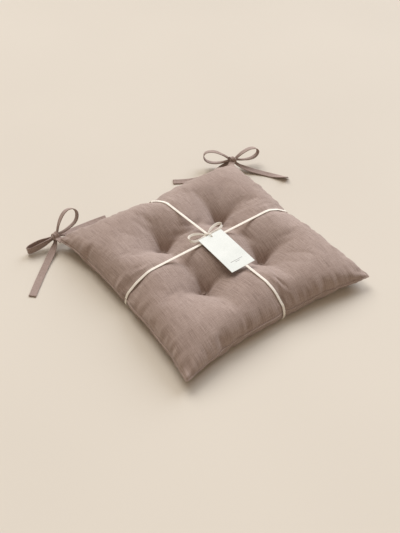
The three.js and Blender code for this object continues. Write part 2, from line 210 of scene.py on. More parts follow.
def strip(name, route, facing, width, thickness, material, *, neck=(1, 1), gather=0.02, pleats=2.5,
          pleat_depth=0.0012, ripple=0.0004, hem=0.0002, closed=False, seed=0, columns=14, floor=None,
          uv_shift=(0, 0), end_hem=False, curl=0.0):
    """A flat tape along a route. facing is its width direction at both ends, or at every point.

    neck is the share of the width kept at each end, where the tape is gathered into pleats. floor is
    the height that it lies on. curl turns its free end about its length, by an angle in radians.
    """
    count = len(route)
    run = np.concatenate([[0], np.cumsum([(b - a).length for a, b in zip(route, route[1:])])])
    outline = section_outline(width, thickness, columns, hem)
    verts, uvs = [], []
    for k, centre in enumerate(route):
        before = route[(k - 1) % count] if closed or k else route[k]
        after = route[(k + 1) % count] if closed or k < count - 1 else route[k]
        tangent = (after - before).normalized()
        share = run[k] / run[-1]
        across = facing[k] if len(facing) == count else facing[0].lerp(facing[1], share)
        across = (across - tangent * across.dot(tangent)).normalized()
        if curl:
            turned = curl * max(0.0, (share - CURL_START) / (1 - CURL_START)) ** 1.5
            across = Matrix.Rotation(turned, 3, tangent) @ across
            centre = centre + Vector((0, 0, width / 2 * math.sin(abs(turned))))
        normal = tangent.cross(across)
        remaining = run[-1] - run[k]
        spread, gathered = 1.0, 0.0
        if not closed:
            spread, gathered = gathers([(neck[0], run[k]), (neck[1], remaining)], gather)
        swell = 1 + END_HEM_SWELL if end_hem and 0.0003 < remaining < END_HEM_LENGTH else 1
        fade = 1 if floor is None else min(1, max(0.15, (centre.z - floor) / FOLD_FADE))
        for s, n in outline:
            t = s / width
            fold = gathered * pleat_depth * math.sin(2 * math.pi * pleats * t + seed)
            wave = ripple * noise.noise(Vector((run[k] * 60 + seed * 7.3, t * 2.2, seed)))
            verts.append(centre + across * (s * spread) + normal * (n * swell + fold * fade + wave * fade))
            uvs.append((run[k] + uv_shift[0], s + uv_shift[1]))
    return make_object(name, verts, strip_faces(count, len(outline), columns, closed), uvs, material)


# ---- Materials ----
class Graph:
    """Short calls for building a material's nodes."""

    def __init__(self, name):
        self.material = bpy.data.materials.new(name)
        self.material.use_nodes = True
        self.nodes = self.material.node_tree.nodes
        self.links = self.material.node_tree.links
        self.shader = self.nodes["Principled BSDF"]

    def add(self, kind, inputs=(), **settings):
        node = self.nodes.new(kind)
        for key, value in settings.items():
            setattr(node, key, value)
        for key, value in dict(inputs).items():
            self.set(node.inputs[key], value)
        return node

    def set(self, socket, value):
        if isinstance(value, bpy.types.NodeSocket):
            self.links.new(value, socket)
        else:
            socket.default_value = value

    def scaled(self, vector, scale):
        return self.add("ShaderNodeMapping", {"Vector": vector, "Scale": scale}).outputs[0]

    def noise(self, vector, scale, detail=3, roughness=0.55):
        values = {"Vector": vector, "Scale": scale, "Detail": detail, "Roughness": roughness}
        return self.add("ShaderNodeTexNoise", values).outputs["Fac"]

    def bands(self, vector, scale, direction, distortion=0.0):
        values = {"Vector": vector, "Scale": scale, "Distortion": distortion, "Detail": 1}
        node = self.add("ShaderNodeTexWave", values, wave_type="BANDS", bands_direction=direction)
        return node.outputs["Fac"]

    def math(self, operation, a, b):
        return self.add("ShaderNodeMath", {0: a, 1: b}, operation=operation).outputs[0]

    def ramp(self, value, stops):
        node = self.add("ShaderNodeValToRGB", {"Fac": value})
        elements = node.color_ramp.elements
        while len(elements) < len(stops):
            elements.new(0.5)
        for element, (position, colour) in zip(elements, stops):
            element.position = position
            element.color = colour
        return node.outputs["Color"]

    def mix(self, mode, factor, a, b):
        node = self.add("ShaderNodeMix", data_type="RGBA", blend_type=mode)
        self.set(node.inputs[0], factor)
        self.set(node.inputs[6], a)
        self.set(node.inputs[7], b)
        return node.outputs[2]

    def bump(self, height, strength, distance):
        values = {"Height": height, "Strength": strength, "Distance": distance}
        normal = self.add("ShaderNodeBump", values).outputs["Normal"]
        self.links.new(normal, self.shader.inputs["Normal"])


def rgb(red, green, blue):
    """Screen values 0-255 as a linear colour."""
    linear = [((c / 255 + 0.055) / 1.055) ** 2.4 for c in (red, green, blue)]
    return (*linear, 1)


WHITE = rgb(255, 255, 255)
LINEN_YARN, PLAIT, TWIST = 0.0012, 0.0013, 0.0011  # how far apart the yarns, plaits and strands lie
BRAID_SLANT = math.radians(52)


def band_scale(period):
    """A wave texture's scale for bands that lie a period apart, in metres."""
    return 2 * math.pi / (20 * period)


def linen(name, dark, light, slub=1.0):
    """Plain-weave slub linen. The cloth map is in metres, with the stronger slubs along its second axis."""
    g = Graph(name)
    cloth = g.add("ShaderNodeUVMap", uv_map="cloth").outputs[0]
    scale = band_scale(LINEN_YARN)
    warp = g.bands(cloth, scale, "X", 1.2)
    weft = g.bands(cloth, scale * 0.93, "Y", 1.2)
    weave = g.math("MULTIPLY", g.math("ADD", warp, weft), 0.5)
    long_slub = g.noise(g.scaled(cloth, (1000, 28, 1)), 1, 2, 0.6)
    cross_slub = g.noise(g.scaled(cloth, (60, 950, 1)), 1, 1, 0.5)
    slubs = g.math("ADD", g.math("MULTIPLY", long_slub, 0.68), g.math("MULTIPLY", cross_slub, 0.32))
    mottle = g.noise(cloth, 420, 2, 0.6)
    cloud = g.noise(cloth, 9, 2, 0.5)
    tone = g.ramp(cloud, [(0.3, dark), (0.7, light)])
    yarns = g.ramp(slubs, [(0.36, rgb(208, 204, 202)), (0.5, rgb(240, 238, 237)), (0.64, WHITE)])
    colour = g.mix("MULTIPLY", slub, tone, yarns)
    grain = g.ramp(mottle, [(0.32, rgb(232, 230, 228)), (0.62, WHITE)])
    colour = g.mix("MULTIPLY", 0.7, colour, grain)
    woven = g.ramp(weave, [(0.1, rgb(214, 210, 208)), (0.75, WHITE)])
    colour = g.mix("MULTIPLY", 0.7, colour, woven)
    g.links.new(colour, g.shader.inputs["Base Color"])
    g.shader.inputs["Roughness"].default_value = 0.92
    g.shader.inputs["Specular IOR Level"].default_value = 0.25
    g.shader.inputs["Sheen Weight"].default_value = 0.2
    g.shader.inputs["Sheen Roughness"].default_value = 0.5
    height = g.math("ADD", g.math("MULTIPLY", weave, 0.5), g.math("MULTIPLY", slubs, 0.8))
    g.bump(g.math("ADD", height, g.math("MULTIPLY", mottle, 0.4)), 0.45, 0.0005)
    return g.material


def braid(name, dark, light):
    """Flat braided cotton: fine diagonal plaits along the ribbon."""
    g = Graph(name)
    cloth = g.add("ShaderNodeUVMap", uv_map="cloth").outputs[0]
    slants = []
    for slant in (BRAID_SLANT, -BRAID_SLANT):
        turned = g.add("ShaderNodeMapping", {"Vector": cloth, "Rotation": (0, 0, slant)}).outputs[0]
        slants.append(g.bands(turned, band_scale(PLAIT), "X"))
    plait = g.math("MAXIMUM", *slants)
    tone = g.ramp(plait, [(0.35, dark), (0.85, light)])
    soil = g.ramp(g.noise(cloth, 60, 3), [(0.3, rgb(232, 228, 222)), (0.7, WHITE)])
    g.links.new(g.mix("MULTIPLY", 0.6, tone, soil), g.shader.inputs["Base Color"])
    g.shader.inputs["Roughness"].default_value = 0.7
    g.shader.inputs["Sheen Weight"].default_value = 0.2
    g.bump(plait, 0.35, 0.0003)
    return g.material


def card(name):
    """Uncoated white card with a faint fibre tooth."""
    g = Graph(name)
    position = g.add("ShaderNodeTexCoord").outputs["Object"]
    fibre = g.noise(g.scaled(position, (900, 500, 900)), 1, 4, 0.7)
    cloud = g.noise(position, 35, 3)
    tone = g.ramp(cloud, [(0.3, rgb(228, 233, 229)), (0.7, rgb(238, 242, 238))])
    tooth = g.ramp(fibre, [(0.35, rgb(240, 240, 238)), (0.6, WHITE)])
    g.links.new(g.mix("MULTIPLY", 0.7, tone, tooth), g.shader.inputs["Base Color"])
    g.shader.inputs["Roughness"].default_value = 0.55
    g.bump(fibre, 0.15, 0.0002)
    return g.material


def thread_material(name, colour, shade):
    """Twisted sewing thread."""
    g = Graph(name)
    position = g.add("ShaderNodeTexCoord").outputs["Object"]
    twist = g.bands(position, band_scale(TWIST), "DIAGONAL", 1.5)
    g.links.new(g.ramp(twist, [(0.2, shade), (0.8, colour)]), g.shader.inputs["Base Color"])
    g.shader.inputs["Roughness"].default_value = 0.75
    g.bump(twist, 0.5, 0.0003)
    return g.material


LINEN = linen("linen", rgb(181, 161, 151), rgb(192, 173, 164))
SEAM = linen("linen_seam", rgb(181, 161, 151), rgb(192, 173, 164), slub=0.7)
TIE = linen("linen_tie", rgb(174, 154, 145), rgb(186, 167, 159), slub=0.7)
RIBBON = braid("ribbon", rgb(236, 228, 214), rgb(255, 251, 243))
CARD = card("card")
THREAD = thread_material("thread", rgb(150, 127, 115), rgb(118, 97, 86))
INK = thread_material("printed_rule", rgb(176, 178, 176), rgb(160, 162, 160))


# ---- Ties: the free tails ----
TAPE_WIDTH, TAPE_THICKNESS, TAPE_STEP = 0.0135, 0.0011, 0.0025
LEFT_KNOT, RIGHT_KNOT = mm(-202, 213, 18), mm(209, 208, 20)
# Each tail's route in millimetres, and the tape's width direction at its two ends.
TAILS = {
    "left_outer": (
        [(-207, 205, 12), (-219, 194, 7), (-236, 180, 3),
         (-257, 161, 1.6), (-280, 139, 1.4), (-302, 117, 1.4)],
        ((0.7, -0.7, 0), (0.7, -0.7, 0)),
    ),
    "left_back": (
        [(-193, 217, 13), (-178, 219, 9), (-158, 221, 6),
         (-136, 221.5, 4.6), (-113, 220.5, 4.2), (-90, 218, 4.2)],
        ((0, 1, 0), (0, 0.97, 0.2)),
    ),
    "right_outer": (
        [(214, 200, 13), (221, 189, 9), (232, 175, 5),
         (247, 157, 2.2), (263, 134, 1.4), (278, 111, 1.4)],
        ((-0.8, -0.6, 0), (-0.8, -0.6, 0)),
    ),
    "right_back": (
        [(200, 213, 13), (184, 214, 6.5), (160, 212, 2.4),
         (134, 214, 1.4), (107, 223, 1.4), (80, 238, 1.4)],
        ((0, -1, 0), (0, -1, 0)),
    ),
}
CURL = {"right_outer": -0.75}  # radians
for seed, (tail, (points, facing)) in enumerate(TAILS.items()):
    side, end = tail.split("_")
    knot = LEFT_KNOT if side == "left" else RIGHT_KNOT
    inner = knot.lerp(mm(*points[0]), 0.5)
    route = smooth_route([inner] + [mm(*p) for p in points], TAPE_STEP)
    widths = [Vector(f) for f in facing]
    piece = strip(
        f"tail_{tail}", route, widths, TAPE_WIDTH, TAPE_THICKNESS, TIE,
        neck=(0.5, 1), gather=0.015, seed=seed + 1, floor=0.001, uv_shift=(0.3 * seed, 0.1), end_hem=True,
        curl=CURL.get(tail, 0.0),
    )
    dress(piece, f"{side}_{end}_tail", f"{side}_tie_{end}_tail")


# ---- Cushion: two square panels sewn at their edges, filled, and tufted in four places ----
HALF, SEAM_Z = 0.200, 0.020
REST_HALF = 0.212  # half of a cut panel, before it is filled
PULL = {"left": 0.013, "right": 0.005, "front": 0.019, "back": 0.007}  # how far the sides draw in
TUFT = 0.0625
CROWN, TUFT_DEPTH, TUFT_REACH = 0.036, 0.040, 0.024  # before filling
BELLY = 0.040  # how far the lower panel would hang below the seam if no floor held it
UNDER_DIMPLE, UNDER_REACH = 0.008, 0.016
PANEL_GAP = 0.0014  # from the seam's middle to each panel, just inside it
WRAP = Vector((0.005, 0.008))  # where the ribbon's bands cross
ALONG_SLOPE, ACROSS_SLOPE = -0.086, 0.023
NEAR_BAND = 0.28  # the share of a half side over which the grid leans with a band
PINCH, PINCH_REACH = 0.005, 0.010  # how far a ribbon band draws the seam in, and over what width
GROOVE_DEPTH, GROOVE_HALF, GROOVE_SLOPE = 0.0025, 0.0074, 0.003  # under the bands
CELLS = 88
UNDER_SHIFT = 0.5  # moves the lower panel's cloth map away from the upper one's

# The simulation that fills the cushion: what it holds, how the cloth gives, and how hard it fills.
STITCH_REACH, BAND_HOLD, CORNER_SHARE = 0.0028, 0.004, 0.93
LIES, GROOVE_LIES, GROOVE_SHARE = 0.0004, 0.0026, 0.03  # points this low rest on the floor or a band
SEAM_HOLD, CORNER_HOLD = 0.15, 0.6
SLACK, EDGE_SLACK, EASE_REACH = 0.02, 0.07, 0.022
PRESSURE, FRAMES = 40, 36
CAP = 0.024  # the most that a point may move


def near_band(t):
    return (1 - (t / NEAR_BAND) ** 2) ** 2 if abs(t) < NEAR_BAND else 0.0


def place(u, v):
    """The plan position of a point of the panels, for u and v from -1 to 1."""
    y = v * HALF + near_band(v) * (WRAP.y + ACROSS_SLOPE * (u * HALF - WRAP.x))
    x = u * HALF + near_band(u) * (WRAP.x + ALONG_SLOPE * (y - WRAP.y))
    pinch_x = PINCH * math.exp(-((v * HALF / PINCH_REACH) ** 2)) * abs(u) ** 30
    pinch_y = PINCH * math.exp(-((u * HALF / PINCH_REACH) ** 2)) * abs(v) ** 30
    x -= math.copysign(PULL["right" if u > 0 else "left"] * abs(u) ** 3 * (1 - v * v) + pinch_x, u)
    y -= math.copysign(PULL["back" if v > 0 else "front"] * abs(v) ** 3 * (1 - u * u) + pinch_y, v)
    return x, y


def plump(t):
    """The fullness of a filled section, from 1 in its middle to 0 at the seam."""
    return (1 - t ** 4) ** 0.55


def tuft_distances(x, y):
    return [math.hypot(x - a, y - b) for a in (-TUFT, TUFT) for b in (-TUFT, TUFT)]


def top_z(u, v):
    pulls = sum(math.exp(-r / TUFT_REACH) for r in tuft_distances(*place(u, v)))
    return SEAM_Z + PANEL_GAP + plump(u) * plump(v) * (CROWN - TUFT_DEPTH * pulls)


def bottom_z(u, v):
    fall = SEAM_Z - PANEL_GAP - BELLY * plump(u) * plump(v)
    dimples = [UNDER_DIMPLE * math.exp(-((r / UNDER_REACH) ** 2)) for r in tuft_distances(*place(u, v))]
    grooves = [GROOVE_DEPTH * min(1, max(0, (GROOVE_HALF - abs(t) * HALF) / GROOVE_SLOPE)) for t in (u, v)]
    return max(fall, *grooves, *dimples, 0.0)


def hold_at(u, v, z, under, edge):
    """How firmly the simulation holds a point, from 0 to 1."""
    nearest = min(abs(u), abs(v))
    stitched = min(tuft_distances(*place(u, v))) < STITCH_REACH
    lies = under and not edge and (z < LIES or (z < GROOVE_LIES and nearest < GROOVE_SHARE))
    pinched = edge and nearest * HALF < BAND_HOLD
    if stitched or lies or pinched:
        return 1.0
    if nearest > CORNER_SHARE:
        return CORNER_HOLD
    return SEAM_HOLD if edge else 0.0


def build_cushion():
    """The panels' grid, the flat shape that they were cut to, what holds each point, and the rim."""
    verts, rest, cloth, hold, index = [], [], [], [], {}
    steps = range(CELLS + 1)
    for layer, height in enumerate((top_z, bottom_z)):
        for j in steps:
            for i in steps:
                edge = i in (0, CELLS) or j in (0, CELLS)
                if layer and edge:
                    index[layer, i, j] = index[0, i, j]
                    continue
                u, v = 2 * i / CELLS - 1, 2 * j / CELLS - 1
                x, y = place(u, v)
                z = SEAM_Z if edge else height(u, v)
                index[layer, i, j] = len(verts)
                verts.append((x, y, z))
                rest.append((u * REST_HALF, v * REST_HALF))
                cloth.append((u * REST_HALF + layer * UNDER_SHIFT, v * REST_HALF))
                hold.append(hold_at(u, v, z, layer == 1, edge))
    faces = []
    for j in range(CELLS):
        for i in range(CELLS):
            a, b, c, d = (i, j), (i + 1, j), (i + 1, j + 1), (i, j + 1)
            faces.append([index[0, k, m] for k, m in (a, b, c, d)])
            faces.append([index[1, k, m] for k, m in (a, d, c, b)])
    obj = make_object("cushion", verts, faces, cloth, LINEN)
    rim = [index[0, i, 0] for i in range(CELLS)] + [index[0, CELLS, j] for j in range(CELLS)]
    rim += [index[0, i, CELLS] for i in range(CELLS, 0, -1)] + [index[0, 0, j] for j in range(CELLS, 0, -1)]
    return obj, rest, hold, rim


def points_of(mesh):
    values = np.empty(len(mesh.vertices) * 3)
    mesh.vertices.foreach_get("co", values)
    return values.reshape(-1, 3)


def inflate(obj, rest, hold):
    """Fills the cushion by cloth simulation and leaves the result in its mesh."""
    start = points_of(obj.data)
    group = obj.vertex_groups.new(name="hold")
    for k, weight in enumerate(hold):
        if weight:
            group.add([k], weight, "REPLACE")
    ease = obj.vertex_groups.new(name="ease")
    for k, (x, y) in enumerate(rest):
        from_seam = REST_HALF - max(abs(x), abs(y))
        ease.add([k], math.exp(-((from_seam / EASE_REACH) ** 2)), "REPLACE")
    modifier = obj.modifiers.new("cloth", "CLOTH")
    cloth = modifier.settings
    cloth.shrink_min, cloth.shrink_max = -SLACK, -EDGE_SLACK
    cloth.vertex_group_shrink = "ease"
    cloth.quality = 6
    cloth.mass = 0.3
    cloth.tension_stiffness = cloth.compression_stiffness = 40
    cloth.shear_stiffness = 10
    cloth.bending_stiffness = 2
    cloth.use_pressure = True
    cloth.uniform_pressure_force = PRESSURE
    cloth.vertex_group_mass = "hold"
    cloth.effector_weights.gravity = 0
    modifier.point_cache.frame_end = FRAMES
    scene.frame_start, scene.frame_end = 1, FRAMES
    for number in range(1, FRAMES + 1):
        scene.frame_set(number)
    settled = obj.evaluated_get(bpy.context.evaluated_depsgraph_get()).to_mesh()
    moved = points_of(settled) - start
    obj.modifiers.remove(modifier)
    far = np.linalg.norm(moved, axis=1, keepdims=True)
    end = start + moved * np.minimum(1, CAP / np.maximum(far, 1e-9))
    end[:, 2] = np.maximum(end[:, 2], np.minimum(start[:, 2], 0.0002))  # nothing sinks into the floor
    obj.data.vertices.foreach_set("co", end.ravel())
    scene.frame_set(1)


cushion, cut_shape, holds, rim = build_cushion()
inflate(cushion, cut_shape, holds)
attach(cushion, "pad")
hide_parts("top_cover", "bottom_cover", "filling")


# ---- Ribbon bands: pulled tight round the filled cushion ----
CLEAR, RIBBON_WIDTH, RIBBON_THICKNESS = 0.0004, 0.005, 0.0009
STEP = RIBBON_THICKNESS + CLEAR  # from one band to the next where they cross
PRESS, PRESS_FADE = 0.0025, 0.06  # how far a band sinks into the cushion's rounds, and its slow start
BEARING = 0.0045  # how far from a band's middle the cushion bears it
UNDER_RUN, UNDER_LEVEL = 0.14, 0.00275 - STEP  # underneath, the band across passes below the other


def hull(points):
    """Convex outline of (run, height) points, counterclockwise."""
    ordered = sorted(set(points))

    def chain(line):
        kept = []
        for p in line:
            while len(kept) > 1:
                (ax, az), (bx, bz) = kept[-2:]
                if (bx - ax) * (p[1] - bz) - (bz - az) * (p[0] - bx) > 1e-10:
                    break
                kept.pop()
            kept.append(p)
        return kept[:-1]

    return chain(ordered) + chain(ordered[::-1])


class Band:
    """One turn of ribbon round the cushion, in a plane through the crossing."""

    def __init__(self, direction):
        self.origin = Vector((WRAP.x, WRAP.y, 0))
        self.along = Vector((*direction, 0)).normalized()
        self.aside = Vector((-self.along.y, self.along.x, 0))

    def split(self, coords):
        """How far each point lies along the band's plane, and how far beside it."""
        offset = coords - np.array(self.origin)
        return offset @ np.array(self.along), offset @ np.array(self.aside)

    def section(self, coords, reach):
        run, off = self.split(coords)
        near = np.abs(off) < reach
        return [(float(r), float(z)) for r, z in zip(run[near], coords[near, 2])]

    def press(self, coords):
        """Pushes the cushion's top down to the tight band."""
        top = sorted(p for p in hull(self.section(coords, BEARING)) if p[1] > SEAM_Z + 0.001)
        runs, heights = np.array(top).T
        run, off = self.split(coords)
        ease = np.clip(np.minimum(run - runs[0], runs[-1] - run) / PRESS_FADE, 0, 1)
        taut = np.interp(run, runs, heights) - PRESS * ease
        allowed = taut + 20 * np.maximum(0, np.abs(off) - 0.003) ** 2
        upper = (coords[:, 2] > SEAM_Z) & (np.abs(off) < 0.03)
        coords[:, 2] -= np.where(upper, np.maximum(0, coords[:, 2] - allowed), 0)

    def route(self, coords, more):
        """A closed route round the cushion's section and the extra (run, height) points."""
        outline = [Vector((r, 0, z)) for r, z in hull(self.section(coords, 0.0052) + more)]
        dense = resample([*outline, outline[0]], 0.0015)[:-1]
        count = len(dense)
        points = []
        for k in range(count):
            near = [dense[(k + s) % count] for s in range(-3, 4)]
            p = sum(near, Vector()) / 7
            tangent = (dense[(k + 1) % count] - dense[k - 1]).normalized()
            outward = Vector((tangent.z, 0, -tangent.x))
            p += outward * (CLEAR + RIBBON_THICKNESS / 2 + (dense[k] - p).length)
            points.append(self.origin + self.along * p.x + Vector((0, 0, p.z)))
        return points

    def height_at(self, route, run):
        upper = [p for p in route if p.z > SEAM_Z]
        return min(upper, key=lambda p: abs((p - self.origin).dot(self.along) - run)).z


CREASE, CREASE_REACH, CREASE_START = 0.010, 0.024, 0.004  # sharp creases that run out from each tuft
CREASE_WIDTH, CREASE_SPREAD = 0.003, 0.14
VALLEY, VALLEY_REACH = 0.0060, 0.018  # soft valleys between neighbouring tufts
VALLEY_END, VALLEY_FADE = 0.150, 0.06
EASE, TUFT_EASE = 0.005, 0.025  # the stitch's slack, and how far it shows
TUFTED_HALF, THINNEST = 0.155, 0.0155
GATHER, GATHER_REACH, GATHER_START = 0.0046, 0.017, 0.004  # at the seam


def crease_depth(x, y):
    """How far the tufting draws the top down."""
    depth = np.zeros_like(x)
    for a in (-TUFT, TUFT):
        for b in (-TUFT, TUFT):
            depth -= EASE * np.exp(-((x - a) ** 2 + (y - b) ** 2) / TUFT_EASE ** 2)
            for run, off in ((x - a, y - b), (y - b, x - a)):
                run = np.abs(run)
                width = CREASE_WIDTH + CREASE_SPREAD * run
                start = 1 - np.exp(-run / CREASE_START)
                depth += CREASE * start * np.exp(-((off / width) ** 2) - run / CREASE_REACH)
    for run, off in ((x, y), (y, x)):
        for line in (-TUFT, TUFT):
            ends = np.clip((VALLEY_END - np.abs(run)) / VALLEY_FADE, 0, 1)
            depth += VALLEY * np.exp(-(((off - line) / VALLEY_REACH) ** 2)) * ends
    return depth


def smoothed(obj):
    """Applies one level of subdivision."""
    modifier = obj.modifiers.new("smooth", "SUBSURF")
    modifier.levels = 1
    obj.data = bpy.data.meshes.new_from_object(obj.evaluated_get(bpy.context.evaluated_depsgraph_get()))
    obj.modifiers.clear()


def pucker(obj, coords):
    """Small gathers that run in from the seam, along each point's normal."""
    mesh = obj.data
    owners = np.empty(len(mesh.loops), dtype=int)
    mesh.loops.foreach_get("vertex_index", owners)
    loop_map = np.empty(2 * len(mesh.loops))
    mesh.uv_layers["cloth"].data.foreach_get("uv", loop_map)
    cloth_map = np.zeros((len(mesh.vertices), 2))
    cloth_map[owners] = loop_map.reshape(-1, 2)
    under = cloth_map[:, 0] > REST_HALF + 0.001
    cloth_map[under, 0] -= UNDER_SHIFT
    normals = np.empty(3 * len(mesh.vertices))
    mesh.vertices.foreach_get("normal", normals)
    normals = normals.reshape(-1, 3)
    for axis in (0, 1):
        for sign in (-1, 1):
            inward = REST_HALF - sign * cloth_map[:, axis]
            run = cloth_map[:, 1 - axis]
            strength = GATHER * (1 - np.exp(-inward / GATHER_START)) * np.exp(-inward / GATHER_REACH)
            for k in np.nonzero((inward > 0.0008) & (inward < 0.07))[0]:
                seed = 3.7 * axis + 1.9 * sign + 11.3 * under[k]
                wrinkle = noise.noise(Vector((run[k] * 85, inward[k] * 16, seed)))
                broad = noise.noise(Vector((run[k] * 26, inward[k] * 9, seed + 5)))
                coords[k] += normals[k] * (strength[k] * (wrinkle + 0.8 * broad))
    coords[:, 2] = np.maximum(coords[:, 2], 0)


smoothed(cushion)
across, along = Band((1, ACROSS_SLOPE)), Band((ALONG_SLOPE, 1))
coords = points_of(cushion.data)
drawn = coords[:, 2] - crease_depth(coords[:, 0], coords[:, 1])
within = np.maximum(np.abs(coords[:, 0]), np.abs(coords[:, 1])) < TUFTED_HALF
tufted = (coords[:, 2] > SEAM_Z - 0.001) & within
coords[:, 2] = np.where(tufted, np.maximum(drawn, THINNEST), coords[:, 2])
pucker(cushion, coords)
# The filling settles until the bands cross at their height in the frame.
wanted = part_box("wrap_ribbon_across")[1][2] - RIBBON_THICKNESS - CLEAR
reached = max(z for run, z in across.section(coords, BEARING) if abs(run) < 0.03) - PRESS
above = coords[:, 2] > SEAM_Z
coords[above, 2] = SEAM_Z + (coords[above, 2] - SEAM_Z) * (wanted - SEAM_Z) / (reached - SEAM_Z)
across.press(coords)
along.press(coords)
cushion.data.vertices.foreach_set("co", coords.ravel())
cushion.data.update()

across_route = across.route(coords, [(-UNDER_RUN, UNDER_LEVEL), (UNDER_RUN, UNDER_LEVEL)])
crossing = across.height_at(across_route, 0) + RIBBON_THICKNESS / 2
along_route = along.route(coords, [(0.0, crossing)])
for name, band, route in (("across", across, across_route), ("along", along, along_route)):
    piece = strip(
        f"ribbon_{name}", route, [band.aside] * len(route), RIBBON_WIDTH, RIBBON_THICKNESS, RIBBON,
        closed=True, ripple=0.00015, hem=0, columns=6,
    )
    dress(piece, "pad", f"wrap_ribbon_{name}")


# ---- Edge seam: the thin folded ridge where the two panels meet ----
SEAM_SECTION = [(-0.0012, 0), (-0.0004, 0.0011), (0.0009, 0.0010), (0.0019, 0.0004),
                (0.0019, -0.0004), (0.0009, -0.0010), (-0.0004, -0.0011)]  # (outwards, up)


def seam_ridge(path):
    """The ridge along a closed path round the cushion."""
    count = len(path)
    verts, uvs = [], []
    run = 0.0
    for k, centre in enumerate(path):
        tangent = (path[(k + 1) % count] - path[k - 1]).normalized()
        outward = Vector((tangent.y, -tangent.x, 0)).normalized()
        upward = outward.cross(tangent) * -1
        size = 1 + 0.22 * noise.noise(centre * 110)
        for out, lift in SEAM_SECTION:
            verts.append(centre + outward * (out * size) + upward * (lift * size))
            uvs.append((run, out + lift))
        run += (path[(k + 1) % count] - centre).length
    faces = ring_faces(count, len(SEAM_SECTION), closed=True)
    piece = make_object("seam", verts, faces, uvs, SEAM)
    rounding = piece.modifiers.new("smooth", "SUBSURF")
    rounding.levels = rounding.render_levels = 1
    return piece


dress(seam_ridge([Vector(coords[k]) for k in rim]), "pad", "edge_seam")


# ---- Tufting thread: a small tight stitch at the bottom of each tuft, above and below ----
STITCH_HALF, STITCH_SINK, STITCH_RISE = 0.0028, 0.0012, 0.0026
UNDER_STITCH = 0.0022
THREAD_RADIUS, THREAD_SIDES = 0.0007, 8


def thread_tube(name, path):
    """A round thread along a path, closed at its ends."""
    last = len(path) - 1
    verts = []
    for k, centre in enumerate(path):
        tangent = (path[min(k + 1, last)] - path[max(k - 1, 0)]).normalized()
        side = tangent.cross(Vector((0.3, 0.2, 0.93))).normalized()
        other = side.cross(tangent)
        for m in range(THREAD_SIDES):
            turn = 2 * math.pi * m / THREAD_SIDES
            verts.append(centre + (side * math.cos(turn) + other * math.sin(turn)) * THREAD_RADIUS)
    faces = ring_faces(len(path), THREAD_SIDES)
    faces.append(tuple(range(THREAD_SIDES))[::-1])
    faces.append(tuple(last * THREAD_SIDES + m for m in range(THREAD_SIDES)))
    return make_object(name, verts, faces, material=THREAD)


def stitch_path(x, y, top, low):
    """Over the dimple's bottom, down through the filling, and under the lower dimple."""
    path = []
    for k in range(25):
        turn = math.pi * k / 24
        path.append(Vector((x + STITCH_HALF * math.cos(turn), y + 0.0004 * math.sin(3 * turn),
                            top - STITCH_SINK + STITCH_RISE * math.sin(turn))))
    path.append(Vector((x - STITCH_HALF / 2, y, (top + low) / 2)))
    for k in range(13):
        turn = math.pi * k / 12
        path.append(Vector((x - UNDER_STITCH * math.cos(turn), y,
                            low + 0.001 - UNDER_STITCH * math.sin(turn))))
    return resample(path, 0.0006)


tree = BVHTree.FromPolygons([tuple(v) for v in coords], [tuple(p.vertices) for p in cushion.data.polygons])
for end, v in (("front", -TUFT / HALF), ("back", TUFT / HALF)):
    for side, u in (("left", -TUFT / HALF), ("right", TUFT / HALF)):
        x, y = place(u, v)
        top = tree.ray_cast(Vector((x, y, 0.2)), Vector((0, 0, -1)))[0].z
        low = tree.ray_cast(Vector((x, y, -0.1)), Vector((0, 0, 1)))[0].z
        stitch = thread_tube(f"tuft_stitch_{end}_{side}", stitch_path(x, y, top, low))
        dress(stitch, "pad", f"tuft_thread_{end}_{side}")


# ---- Bows: each tie's knot, its two loops and the tape sewn into the corner ----
LOOP_GAP = 0.0011
OPEN_PEAK = 0.77  # the greatest value of 2 cos(t) sin(t) squared, where a loop is widest
KNOT_HALF, KNOT_RADIUS, KNOT_WRAP_RADIUS = 0.0078, 0.0062, 0.0066
KNOT_TUCKS = 3
KNOT_CLEAR = 0.0065  # from the knot's middle to where a loop leaves it
ROOT_WIDTH, ROOT_THICKNESS = 0.0125, 0.0013
ROOT_SEWN, ROOT_SHORT = 0.008, 0.0045  # the length inside the corner, and how far from the knot it ends


def loop_route(knot, tip, open_towards, opening, clear):
    """Out from the knot to the loop's tip and back, and the tape's width direction.

    opening is how wide the loop opens, and clear is how far from the knot's middle it starts.
    """
    out = tip - knot
    reach = out.length
    out.normalize()
    opened = (open_towards - out * open_towards.dot(out)).normalized()
    points = []
    for k in range(17):
        turn = math.pi * k / 16
        far = math.sin(turn) ** 2
        aside = -math.cos(turn) * (LOOP_GAP + opening / OPEN_PEAK * far)
        points.append(knot + out * (clear + (reach - clear) * far) + opened * aside)
    return points, out.cross(opened)


